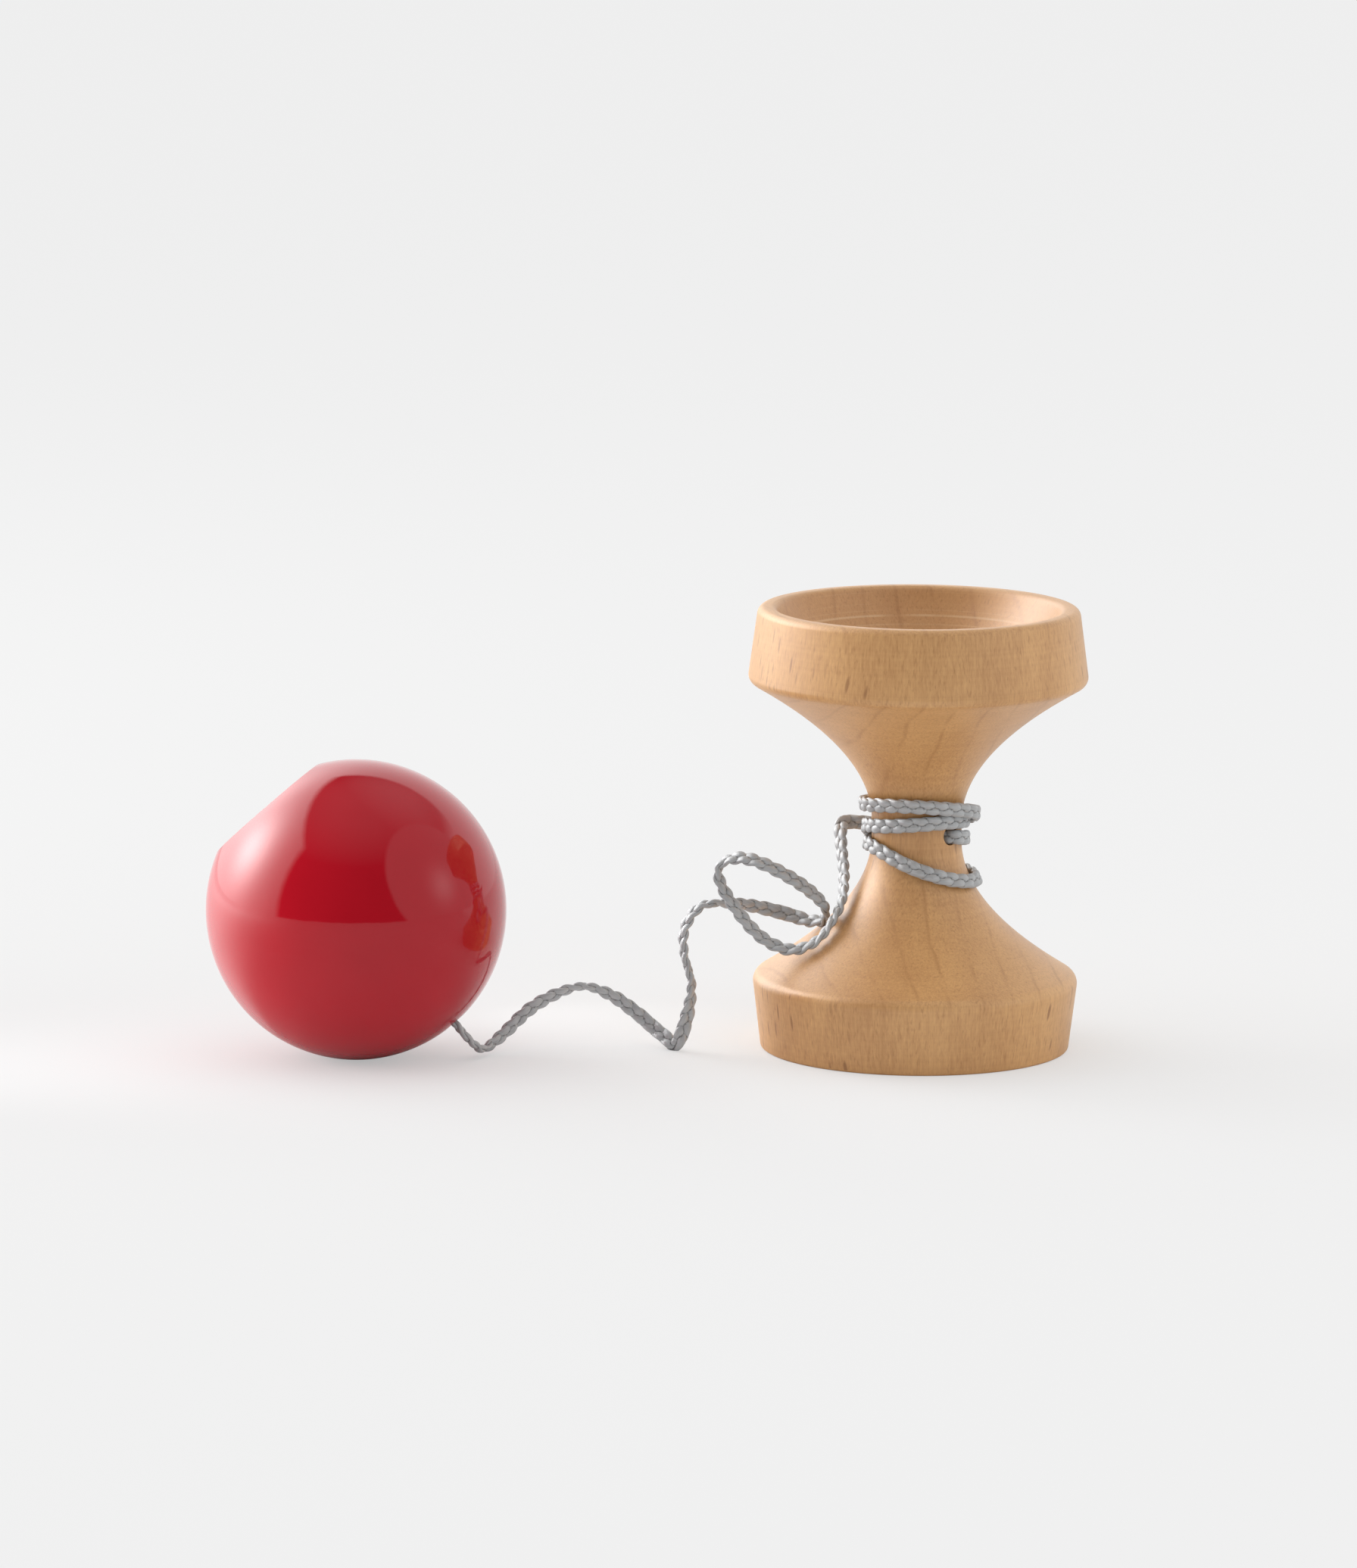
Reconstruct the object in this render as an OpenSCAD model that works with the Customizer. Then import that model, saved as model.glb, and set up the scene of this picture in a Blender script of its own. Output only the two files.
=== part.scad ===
// Cup and ball: a turned beech cup on a waisted foot, a lacquered ball, and a flat
// plaited cord that is glued into the waist, wound round it and knotted inside the ball.
// The origin is the middle of the foot on the table, +Z is up and the ball lies at -X.

/* [Cup] */
// Height of the cup from the table to the rim
cup_h = 89.5; // [84:0.5:96]
// Outside diameter at the rim
rim_d = 64.4; // [62:0.2:67]
// Thickness of the wall at the rim
rim_wall = 3.5; // [3.3:0.1:5]
// Rounding of the rim's two edges
rim_round = 1.6; // [0.8:0.1:1.6]
// Outside diameter at the lower edge of the bowl's band
band_d = 68.4; // [67:0.2:72]
// Height of the bowl's band
band_h = 14.8; // [12:0.2:17]
// Rounding of the band's lower edge
band_round = 1.9; // [0.5:0.1:2.5]

/* [Waist] */
// Diameter of the waist
waist_d = 18.1; // [16:0.1:20]
// Length of the straight part of the waist
waist_h = 3.9; // [2:0.1:6]
// Height of the middle of the waist above the table
waist_z = 44.4; // [42:0.1:46]

/* [Foot] */
// Diameter of the foot on the table
foot_d = 62; // [58:0.5:64]
// Rounding of the edge on the table
foot_round = 0.6; // [0.3:0.1:1.5]
// Diameter of the foot at its shoulder
shoulder_d = 65.6; // [65:0.2:69]
// Height of the shoulder above the table
shoulder_h = 14.7; // [12:0.1:18]
// Rounding of the shoulder
shoulder_round = 2.5; // [0.5:0.1:3]

/* [Ball] */
// Diameter of the ball
ball_d = 60; // [56:0.5:61]
// Room between the ball and the bowl that it lands in
ball_room = 1; // [0.5:0.1:2]
// Diameter of the flat that the ball stands on
flat_d = 26.6; // [22:0.2:32]
// Rounding of the flat's edge
flat_round = 1.2; // [0.5:0.1:2]
// Diameter of the knot's pocket in the flat
pocket_d = 9.6; // [9:0.2:12]
// Depth of the knot's pocket
pocket_h = 12; // [9:0.5:16]
// How far the ball lies to the left of the cup's axis
ball_left = 112; // [108:0.5:120]
// How far the ball lies in front of the cup's axis
ball_front = 15.5; // [12:0.5:18]
// Lean of the ball's drilled axis from upright
ball_lean = 42.3; // [36:0.1:48]
// Heading of the flat, turned from +X towards +Y
ball_heading = 169; // [160:1:178]

/* [Cord] */
// Width of the flat plait
cord_w = 2.6; // [2.2:0.1:2.7]
// Thickness of the flat plait
cord_t = 1.3; // [1:0.1:1.4]
// Room between the cord and the wood that it lies on
cord_room = 0.3; // [0.2:0.05:0.5]
// Room on each side of the cord in a drilled hole
hole_room = 0.7; // [0.5:0.1:1]
// Depth of the glued hole in the waist
anchor_h = 6; // [4:0.5:7]
// Diameter of the stopper knot
knot_d = 8; // [6.5:0.1:8.4]

/* [Hidden] */
$fn = 96;

// Fineness of the rounded edges, of the flares and of the round faces in the profiles
edge_steps = 6;
flare_steps = 24;
face_steps = 36;

// Heights and radii of the turned profile
band_z = cup_h - band_h;
waist_top = waist_z + waist_h / 2;
waist_low = waist_z - waist_h / 2;
waist_r = waist_d / 2;
mouth_r = rim_d / 2 - rim_wall;
bowl_r = ball_d / 2 + ball_room;
bowl_z = cup_h + sqrt(bowl_r * bowl_r - mouth_r * mouth_r);

// The two flares are parabolas that leave the waist upright
function flare_r(end_d, part) = waist_r + (end_d / 2 - waist_r) * part * part;
function wood_r(z) =
    z > waist_top ? flare_r(band_d, (z - waist_top) / (band_z - waist_top)) :
    z < waist_low ? flare_r(shoulder_d, (waist_low - z) / (waist_low - shoulder_h)) : waist_r;

// Direction in which a flare runs away from its outer edge, as [radius, height]
function flare_run(end_d, rise) = [-2 * (end_d / 2 - waist_r) / abs(rise), sign(rise)];

function unit(v) = v / norm(v);
function angle_of(v) = atan2(v[1], v[0]);
function arc(c, r, from, to, steps) =
    [for (i = [0:steps]) c + r * [cos(from + (to - from) * i / steps), sin(from + (to - from) * i / steps)]];
// Shortest way round from one heading to another
function turn_to(from, to) = from + (to - from) - 360 * round((to - from) / 360);

// Rounded corner at q between the directions a and b that leave it
function corner(q, a, b, r) =
    let (half = acos(unit(a) * unit(b)) / 2,
         c = q + unit(unit(a) + unit(b)) * r / sin(half),
         from = angle_of(q + unit(a) * r / tan(half) - c),
         to = angle_of(q + unit(b) * r / tan(half) - c))
    arc(c, r, from, turn_to(from, to), edge_steps);

// Corners of the turned profile, and what leaves them
foot_edge = [foot_d / 2, 0];
shoulder = [shoulder_d / 2, shoulder_h];
band_edge = [band_d / 2, band_z];
rim_edge = [rim_d / 2, cup_h];
mouth_edge = [mouth_r, cup_h];
mouth_run = [-(bowl_z - cup_h) / mouth_r, -1];
shoulder_run = flare_run(shoulder_d, waist_low - shoulder_h);
shoulder_arc = corner(shoulder, foot_edge - shoulder, shoulder_run, shoulder_round);
band_arc = corner(band_edge, flare_run(band_d, waist_top - band_z), rim_edge - band_edge, band_round);
mouth_arc = corner(mouth_edge, [1, 0], mouth_run, rim_round);
function flare(from, to) =
    [for (i = [1:flare_steps - 1]) let (z = from + (to - from) * i / flare_steps) [wood_r(z), z]];
mouth_end = mouth_arc[edge_steps];
bowl_face = arc([0, bowl_z], bowl_r, angle_of(mouth_end - [0, bowl_z]), -90, face_steps);
cup_profile = concat(
    [[0, 0]],
    corner(foot_edge, [-1, 0], shoulder - foot_edge, foot_round),
    shoulder_arc,
    flare(shoulder_arc[edge_steps][1], waist_low),
    [[waist_r, waist_low], [waist_r, waist_top]],
    flare(waist_top, band_arc[0][1]),
    band_arc,
    corner(rim_edge, band_edge - rim_edge, [-1, 0], rim_round),
    mouth_arc,
    [for (i = [1:face_steps - 1]) bowl_face[i]],
    [[0, bowl_z - bowl_r]]);

// The ball's own axis points out of its flat
ball_r = ball_d / 2;
flat_z = sqrt(ball_r * ball_r - flat_d * flat_d / 4);
ball_c = [-ball_left, -ball_front, ball_r];
ball_axis = [sin(ball_lean) * cos(ball_heading), sin(ball_lean) * sin(ball_heading), cos(ball_lean)];
hole_d = cord_w + 2 * hole_room;
pocket_z = flat_z - pocket_h;
flat_arc = corner([flat_d / 2, flat_z], [flat_z, -flat_d / 2], [-1, 0], flat_round);
flat_start = angle_of(flat_arc[0]);
ball_profile = concat(
    [[0, -ball_r]],
    [for (i = [1:face_steps]) let (a = -90 + (flat_start + 90) * i / face_steps) ball_r * [cos(a), sin(a)]],
    [for (i = [1:edge_steps]) flat_arc[i]],
    [[0, flat_z]]);

// The winding, from the glued hole to where the cord leaves the waist, as heights above the
// middle of the waist and lifts off the wood where it crosses itself, against the turning angle:
// 0 is the front, 90 the right, 180 the back and 270 the left. The hole sits a touch above the cord
anchor_angle = 48;
anchor_rise = -0.6;
hole_rise = -0.25;
wind_from = 70;
wind_to = 1262;
wind_step = 15;
wind_rise = [[70, -0.9], [90, -1.5], [135, -3.5], [180, -4.5], [225, -4.1], [270, -2.7],
    [297, -2.1], [327, -4.1], [348, -5.6], [368, -7.1], [389, -8.4], [417, -9.7], [450, -9.9],
    [495, -9.2], [530, -7.6], [555, -5.4], [580, -2.6], [600, -0.6], [615, 0.3], [630, 0.9],
    [645, 1.3], [669, 1.5], [696, 2.2], [718, 2.6], [739, 2.8], [765, 2.9], [799, 2.1], [830, 1.8],
    [855, 2.2], [900, 3.3], [950, 4.6], [1000, 5.3], [1034, 6.1], [1058, 6.5], [1080, 6.4],
    [1097, 6.1], [1120, 5.6], [1158, 4.1], [1185, 2.5], [1215, 0.4], [1240, -0.8], [1262, -1.3]];
wind_lift = [[520, 0], [546, 2], [592, 2], [616, 0], [940, 0], [972, 0.5], [1005, 0.5], [1040, 0],
    [1105, 0], [1145, 1.9], [1235, 1.9], [1262, 0.7]];
// Spread over which heights and lifts are evened out, in degrees
wind_ease = [-24, -12, 0, 12, 24];
function eased(angle, table) =
    [for (d = wind_ease) lookup(angle + d, table)] * [for (d = wind_ease) 1] / len(wind_ease);
function wrap_r(z) = max(wood_r(z - cord_w / 2), wood_r(z + cord_w / 2)) + cord_room + cord_t / 2;
function round_waist(angle, r, z) = [r * sin(angle), -r * cos(angle), z];
function wrap(angle) =
    let (z = waist_z + eased(angle, wind_rise))
    round_waist(angle, wrap_r(z) + eased(angle, wind_lift), z);
anchor_z = waist_z + anchor_rise;
// Where the cord leaves the waist, straight to the left
leave_y = wrap(wind_to)[1];
leave_z = waist_z - 0.6;
leave_x = -12;
leave_slope = -0.08;
winding_route = concat(
    [for (h = [anchor_h - cord_room, anchor_h / 2]) round_waist(anchor_angle, waist_r - h, anchor_z)],
    [round_waist(anchor_angle + 6, waist_r + cord_room + 0.4 * cord_t, anchor_z)],
    [for (a = [wind_from:wind_step:wind_to]) wrap(a)],
    [for (x = [-4, -7, leave_x + cord_w, leave_x]) [x, leave_y, leave_z + leave_slope * (x - leave_x)]]);

// The free cord, from the waist to the ball, with the turn of its flat face at each point:
// at 0 the face looks to the front, and the turn follows the right hand along the cord
free_points = [
    [-15, 9, 43.5, 210], [-15, 5.5, 40, 232], [-14.5, 0, 35, 240], [-15, -5.5, 30.5, 258],
    [-17, -9, 27, 268], [-20, -11, 23.5, 262], [-24.5, -10.5, 21.5, 242], [-29, -9.5, 22.5, 234],
    [-33, -9, 25.5, 230], [-37, -8, 30.4, 230], [-39.5, -7, 34.8, 238], [-39.5, -6.8, 37.9, 262],
    [-36, -8.3, 39.7, 304], [-31.5, -10, 39.1, 312], [-25.5, -9.7, 36.1, 316],
    [-20.7, -7.3, 32.3, 308], [-18.2, -4.5, 28.8, 280], [-18.8, -1.5, 26, 252],
    [-21.5, 0.6, 25.4, 230], [-25, 2, 26.2, 200], [-30.5, 2, 27.6, 165], [-35.5, 0, 28.8, 143],
    [-40.5, -2.5, 29.4, 105], [-44, -4, 28.5, 72], [-46.5, -5, 24.5, 66], [-46.5, -6, 19.5, 76],
    [-45, -6.5, 13.5, 105], [-46, -7, 6.5, 160], [-48, -7, 1.4, 203], [-50.5, -4.2, 2.5, 197],
    [-53, -1.9, 4.1, 188], [-56, -0.9, 6.5, 172], [-61, -1.3, 10.1, 148], [-66.5, -3, 12.3, 108],
    [-72, -5.2, 11.2, 138], [-77.5, -7.6, 8.4, 150], [-83, -10.6, 3.6, 142], [-86.5, -14.2, 1.7, 116],
    [-88.6, -18, 3.5, 105]];
join_gap = 0.7;
bore_turn = 100;
ball_exit = ball_c - ball_r * ball_axis;
free_route = concat(
    [for (x = [leave_x - join_gap, leave_x - cord_t]) [x, leave_y, leave_z, 180]],
    free_points,
    [for (h = [-cord_w, 0, cord_w, 4 * cord_w, ball_r, ball_r + pocket_z + cord_room])
        let (p = ball_exit + h * ball_axis) [p[0], p[1], p[2], bore_turn]]);

// Smooth curve through a route, with so many steps from point to point
function between(a, b, c, d, t) =
    b + t * ((c - a) / 2 + t * (a - 2.5 * b + 2 * c - d / 2 + t * (1.5 * (b - c) + (d - a) / 2)));
function smooth(p, steps) = concat(
    [for (i = [0:len(p) - 2]) for (k = [0:steps - 1])
        between(p[max(i - 1, 0)], p[i], p[i + 1], p[min(i + 2, len(p) - 1)], k / steps)],
    [p[len(p) - 1]]);

// Rings of a flat tube: up says which way its width would stand before it is turned
function place(p) = [p[0], p[1], p[2]];
function run(p, i) = unit(place(p[min(i + 1, len(p) - 1)]) - place(p[max(i - 1, 0)]));
function upright(t) = unit([0, 0, 1] - t[2] * t);
function frontal(t) = cross(unit([0, -1, 0] + t[1] * t), t);
function ring(p, wide, thin, sides) =
    [for (k = [0:sides - 1]) let (a = 360 * k / sides)
        p + wide * cos(a) * cord_w / 2 + thin * sin(a) * cord_t / 2];
function wound_rings(p, sides) =
    [for (i = [0:len(p) - 1]) let (t = run(p, i), wide = upright(t)) ring(p[i], wide, cross(t, wide), sides)];
function free_rings(p, sides) =
    [for (i = [0:len(p) - 1])
        let (t = run(p, i), w = frontal(t), n = cross(t, w), a = p[i][3])
        ring(place(p[i]), w * cos(a) + n * sin(a), n * cos(a) - w * sin(a), sides)];

module tube(rings) {
    s = len(rings[0]);
    last = (len(rings) - 1) * s;
    points = [for (r = rings) for (p = r) p];
    skin = [for (i = [0:len(rings) - 2]) for (k = [0:s - 1])
        let (a = i * s + k, b = i * s + (k + 1) % s) each [[a, a + s, b], [b, a + s, b + s]]];
    ends = [for (k = [1:s - 2]) each [[0, k, k + 1], [last, last + k + 1, last + k]]];
    polyhedron(points, concat(skin, ends));
}

winding_sides = 6;
free_sides = 8;
free_between = 2;
winding_rings = wound_rings(winding_route, winding_sides);

// Least gap between turns that lie at least a third of a turn apart along the cord
apart = 8;
turn_gap = min([for (i = [0:len(winding_rings) - apart - 1]) for (j = [i + apart:len(winding_rings) - 1])
    if (norm(winding_route[i] - winding_route[j]) < 2 * cord_w)
        for (a = winding_rings[i]) for (b = winding_rings[j]) norm(a - b)]);
echo(least_gap_between_turns_mm = turn_gap);

module in_ball() {
    translate(ball_c) rotate([0, ball_lean, ball_heading]) children();
}

module cup_body() {
    color("#d9b184") difference() {
        rotate_extrude() polygon(cup_profile);
        translate([0, 0, waist_z + hole_rise]) rotate([90, 0, anchor_angle])
            translate([0, 0, waist_r - anchor_h]) cylinder(d = hole_d, h = waist_r);
    }
}

module ball() {
    color("#b3121f") in_ball() difference() {
        rotate_extrude() polygon(ball_profile);
        translate([0, 0, -ball_r]) cylinder(d = hole_d, h = ball_d);
        translate([0, 0, pocket_z]) cylinder(d = pocket_d, h = ball_r);
    }
}

module cord_winding() {
    color("#9a9a98") tube(winding_rings);
}

module cord_free() {
    color("#9a9a98") tube(free_rings(smooth(free_route, free_between), free_sides));
}

module cord_knot() {
    seat = knot_d / 4;
    color("#9a9a98") in_ball() translate([0, 0, pocket_z + cord_room]) difference() {
        translate([0, 0, seat]) sphere(d = knot_d);
        translate([0, 0, -knot_d]) cylinder(d = 2 * knot_d, h = knot_d);
    }
}

cup_body();
ball();
cord_winding();
cord_free();
cord_knot();
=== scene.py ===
# Cup and ball: turned beech cup, red lacquered ball, grey plaited cord.
import bpy, bmesh, math
import numpy as np
from mathutils import Matrix, Vector


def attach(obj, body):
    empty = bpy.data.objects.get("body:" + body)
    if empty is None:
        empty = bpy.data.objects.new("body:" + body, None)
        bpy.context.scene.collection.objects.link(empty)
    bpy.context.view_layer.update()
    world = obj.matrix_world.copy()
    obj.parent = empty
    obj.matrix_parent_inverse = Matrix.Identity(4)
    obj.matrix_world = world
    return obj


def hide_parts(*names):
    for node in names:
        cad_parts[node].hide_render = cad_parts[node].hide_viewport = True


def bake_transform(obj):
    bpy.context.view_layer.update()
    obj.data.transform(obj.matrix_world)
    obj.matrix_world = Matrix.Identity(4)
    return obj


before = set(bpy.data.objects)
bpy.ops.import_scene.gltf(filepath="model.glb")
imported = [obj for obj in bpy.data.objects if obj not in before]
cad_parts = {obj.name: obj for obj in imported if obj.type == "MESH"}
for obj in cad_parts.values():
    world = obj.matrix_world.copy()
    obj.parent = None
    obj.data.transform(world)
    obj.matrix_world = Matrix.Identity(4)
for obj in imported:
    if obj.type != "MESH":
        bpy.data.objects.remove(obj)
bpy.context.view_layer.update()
scene = bpy.context.scene
mm = 0.001
weldGap = 0.000002


# Helpers

def hexColour(code):
    parts = [int(code[i:i + 2], 16) / 255 for i in (1, 3, 5)]
    return tuple(c / 12.92 if c <= 0.04045 else ((c + 0.055) / 1.055) ** 2.4 for c in parts) + (1.0,)


def addNode(tree, kind, settings):
    node = tree.nodes.new(kind)
    for name, value in settings.items():
        if isinstance(value, bpy.types.Node):
            value = value.outputs[0]
        if isinstance(value, bpy.types.NodeSocket):
            tree.links.new(value, node.inputs[name])
        elif isinstance(name, int) or name in node.inputs:
            node.inputs[name].default_value = value
        else:
            setattr(node, name, value)
    return node


def newMaterial(name):
    material = bpy.data.materials.new(name)
    material.use_nodes = True
    material.node_tree.nodes.clear()
    return material, material.node_tree


def meshObject(name, bm, material, sharpDeg=None):
    mesh = bpy.data.meshes.new(name)
    bm.to_mesh(mesh)
    bm.free()
    mesh.polygons.foreach_set("use_smooth", [True] * len(mesh.polygons))
    if sharpDeg:
        mesh.set_sharp_from_angle(angle=math.radians(sharpDeg))
    obj = bpy.data.objects.new(name, mesh)
    scene.collection.objects.link(obj)
    mesh.materials.append(material)
    return obj


def arcPoints(centre, radius, fromDeg, toDeg, steps):
    angles = [math.radians(fromDeg + (toDeg - fromDeg) * i / steps) for i in range(steps + 1)]
    return [(centre[0] + radius * math.cos(a), centre[1] + radius * math.sin(a)) for a in angles]


# Rounded corner of a profile at q, between the directions a and b that leave it
def roundedCorner(q, a, b, radius, steps):
    q, a, b = np.array(q, float), np.array(a, float), np.array(b, float)
    a, b = a / np.linalg.norm(a), b / np.linalg.norm(b)
    half = math.acos(float(np.clip(a @ b, -1, 1))) / 2
    middle = (a + b) / np.linalg.norm(a + b)
    c = q + middle * radius / math.sin(half)
    start, end = q + a * radius / math.tan(half) - c, q + b * radius / math.tan(half) - c
    fromDeg = math.degrees(math.atan2(start[1], start[0]))
    turn = (math.degrees(math.atan2(end[1], end[0])) - fromDeg + 180) % 360 - 180
    return arcPoints(c, radius, fromDeg, fromDeg + turn, steps)


# Turns a profile of (radius, height) in mm round the Z axis; a closed profile makes a ring
def turned(profile, steps, closed=False):
    bm = bmesh.new()
    verts = [bm.verts.new((r * mm, 0, z * mm)) for r, z in profile]
    edges = [bm.edges.new(pair) for pair in zip(verts, verts[1:])]
    if closed:
        edges.append(bm.edges.new((verts[-1], verts[0])))
    bmesh.ops.spin(bm, geom=verts + edges, cent=(0, 0, 0), axis=(0, 0, 1), angle=math.tau, steps=steps,
                   use_merge=True)
    bmesh.ops.remove_doubles(bm, verts=bm.verts, dist=weldGap)
    bmesh.ops.recalc_face_normals(bm, faces=bm.faces)
    return bm


# Camera: a long lens that looks down a little, with the slight roll of the photograph
cameraView = {"place": (-0.0479, -1.77427, 0.35648), "pitch": 9.7, "roll": 0.41, "lens": 205.85, "sensor": 36,
              "clipEnd": 200}
cameraData = bpy.data.cameras.new("camera")
cameraData.sensor_fit = "VERTICAL"
cameraData.sensor_height = cameraView["sensor"]
cameraData.lens = cameraView["lens"]
cameraData.clip_end = cameraView["clipEnd"]
camera = bpy.data.objects.new("camera", cameraData)
scene.collection.objects.link(camera)
camera.matrix_world = (Matrix.Translation(cameraView["place"])
                       @ Matrix.Rotation(math.radians(90 - cameraView["pitch"]), 4, "X")
                       @ Matrix.Rotation(math.radians(cameraView["roll"]), 4, "Z"))
scene.camera = camera
print("camera placed")


# Cup and ball: sizes and places in mm, which the cord shares, and how finely the two are turned
cup = {"height": 89.5, "rimD": 64.4, "rimWall": 3.5, "rimRound": 1.6, "bandD": 68.4, "bandH": 14.8,
       "bandRound": 1.9, "waistD": 18.1, "waistH": 3.9, "waistZ": 44.4, "footD": 62, "footRound": 0.6,
       "shoulderD": 65.6, "shoulderH": 14.7, "shoulderRound": 2.5, "bowlRoom": 1,
       "turnSteps": 192, "edgeSteps": 8, "footSteps": 4, "flareSteps": 34, "bowlSteps": 40, "holeSides": 32,
       "sharpDeg": 40}
ball = {"diameter": 60, "flatD": 26.6, "flatRound": 1.2, "pocketD": 9.6, "pocketH": 12, "boreD": 4,
        "lipRound": 0.5, "left": 112, "front": 15.5, "lean": 42.3, "heading": 169,
        "turnSteps": 160, "skinSteps": 72, "edgeSteps": 8, "lipSteps": 5, "sharpDeg": 35}
waistR = cup["waistD"] / 2
waistTop, waistLow = cup["waistZ"] + cup["waistH"] / 2, cup["waistZ"] - cup["waistH"] / 2
bandZ = cup["height"] - cup["bandH"]


# Radius of the waist and of its two flares at a height
def woodRadius(z):
    up = np.clip((z - waistTop) / (bandZ - waistTop), 0, 1)
    low = np.clip((waistLow - z) / (waistLow - cup["shoulderH"]), 0, 1)
    return waistR + (cup["bandD"] / 2 - waistR) * up ** 2 + (cup["shoulderD"] / 2 - waistR) * low ** 2


# The ball's axis points out of its flat; the cord goes in at the other end
ballR = ball["diameter"] / 2
ballCentre = np.array([-ball["left"], -ball["front"], ballR])
lean, heading = math.radians(ball["lean"]), math.radians(ball["heading"])
ballAxis = np.array([math.sin(lean) * math.cos(heading), math.sin(lean) * math.sin(heading), math.cos(lean)])
flatZ = math.sqrt(ballR ** 2 - ball["flatD"] ** 2 / 4)
pocketZ = flatZ - ball["pocketH"]
ballExit = ballCentre - ballR * ballAxis


# Cord: one flat plait of three strands, glued into the waist, wound round it and knotted in the ball. The
# solid sizes are those of the smooth tube that the plait stands for
cord = {"width": 2.9, "room": 0.3, "solidThick": 1.3, "solidWidth": 2.6,
        "anchorAngle": 48, "anchorRise": -0.6, "anchorDepth": 6, "anchorInside": (5.7, 3.5, 1.5),
        "anchorOutside": 0.8, "anchorBend": 6, "holeRise": -0.25,
        "windFrom": 70, "windTo": 1262, "windStep": 5.0, "easeDeg": (-24, -12, 0, 12, 24),
        "leaveX": -12, "leaveRise": -0.6, "leaveSlope": -0.08, "leaveAt": (-4, -7, -9.8, -12.7, -13.3),
        "leaveTurn": 180, "boreTurn": 100, "heldSteps": 3, "freeSteps": 12, "ringStep": 0.3, "faceEasing": 4,
        "strands": 3, "plaitPitch": 8.7, "strandWide": 0.85, "strandThick": 0.52, "strandSides": 14,
        "swayWide": 0.62, "swaySquare": 2.6, "swayThick": 0.32,
        "creaseReach": 0.5, "creaseGain": 1.6, "creaseCut": 0.2, "tableZ": 0.05}
# Winding: turning angle from the front, with the height above the middle of the waist
windRise = [(70, -0.9), (90, -1.5), (135, -3.5), (180, -4.5), (225, -4.1), (270, -2.7), (297, -2.1),
            (327, -4.1), (348, -5.6), (368, -7.1), (389, -8.4), (417, -9.7), (450, -9.9), (495, -9.2),
            (530, -7.6), (555, -5.4), (580, -2.6), (600, -0.6), (615, 0.3), (630, 0.9), (645, 1.3),
            (669, 1.5), (696, 2.2), (718, 2.6), (739, 2.8), (765, 2.9), (799, 2.1), (830, 1.8), (855, 2.2),
            (900, 3.3), (950, 4.6), (1000, 5.3), (1034, 6.1), (1058, 6.5), (1080, 6.4), (1097, 6.1),
            (1120, 5.6), (1158, 4.1), (1185, 2.5), (1215, 0.4), (1240, -0.8), (1262, -1.3)]
# The same angle, with the lift off the wood where the cord crosses itself
windLift = [(520, 0), (546, 2), (592, 2), (616, 0), (940, 0), (972, 0.5), (1005, 0.5), (1040, 0), (1105, 0),
            (1145, 1.9), (1235, 1.9), (1262, 0.7)]
# Free part: x, y, z and the turn of the flat face, which looks to the front at 0
freePoints = [
    (-15, 9, 43.5, 210), (-15, 5.5, 40, 232), (-14.5, 0, 35, 240), (-15, -5.5, 30.5, 258), (-17, -9, 27, 268),
    (-20, -11, 23.5, 262), (-24.5, -10.5, 21.5, 242), (-29, -9.5, 22.5, 234), (-33, -9, 25.5, 230),
    (-37, -8, 30.4, 230), (-39.5, -7, 34.8, 238), (-39.5, -6.8, 37.9, 262), (-36, -8.3, 39.7, 304),
    (-31.5, -10, 39.1, 312), (-25.5, -9.7, 36.1, 316), (-20.7, -7.3, 32.3, 308), (-18.2, -4.5, 28.8, 280),
    (-18.8, -1.5, 26, 252), (-21.5, 0.6, 25.4, 230), (-25, 2, 26.2, 200), (-30.5, 2, 27.6, 165),
    (-35.5, 0, 28.8, 143), (-40.5, -2.5, 29.4, 105), (-44, -4, 28.5, 72), (-46.5, -5, 24.5, 66),
    (-46.5, -6, 19.5, 76), (-45, -6.5, 13.5, 105), (-46, -7, 6.5, 160), (-48, -7, 1.4, 203),
    (-50.5, -4.2, 2.5, 197), (-53, -1.9, 4.1, 188), (-56, -0.9, 6.5, 172), (-61, -1.3, 10.1, 148),
    (-66.5, -3, 12.3, 108), (-72, -5.2, 11.2, 138), (-77.5, -7.6, 8.4, 150), (-83, -10.6, 3.6, 142),
    (-86.5, -14.2, 1.7, 116), (-88.6, -18, 3.5, 105)]


# Value at an angle between the stops of a list, evened out over the neighbouring angles
def eased(angle, stops):
    keys, values = zip(*stops)
    return np.mean([np.interp(angle + d, keys, values) for d in cord["easeDeg"]], axis=0)


# Smooth curve through points of any dimension
def smoothThrough(points, steps):
    p = np.array(points, float)
    q = np.vstack([p[:1], p, p[-1:]])
    t = np.arange(steps)[:, None] / steps
    rows = []
    for a, b, c, d in zip(q, q[1:], q[2:], q[3:]):
        bend, curl = a - 2.5 * b + 2 * c - d / 2, 1.5 * (b - c) + (d - a) / 2
        rows.append(b + t * ((c - a) / 2 + t * (bend + t * curl)))
    return np.vstack(rows + [p[-1:]])


def unitRows(v):
    return v / np.linalg.norm(v, axis=1, keepdims=True)


def runAlong(line):
    return unitRows(np.gradient(line, axis=0))


# What of each row of v stands square to the run, at length 1
def squareTo(v, run):
    return unitRows(v - (v * run).sum(1)[:, None] * run)


def lengthAlong(line):
    return np.concatenate([[0], np.cumsum(np.linalg.norm(np.diff(line, axis=0), axis=1))])


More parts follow.
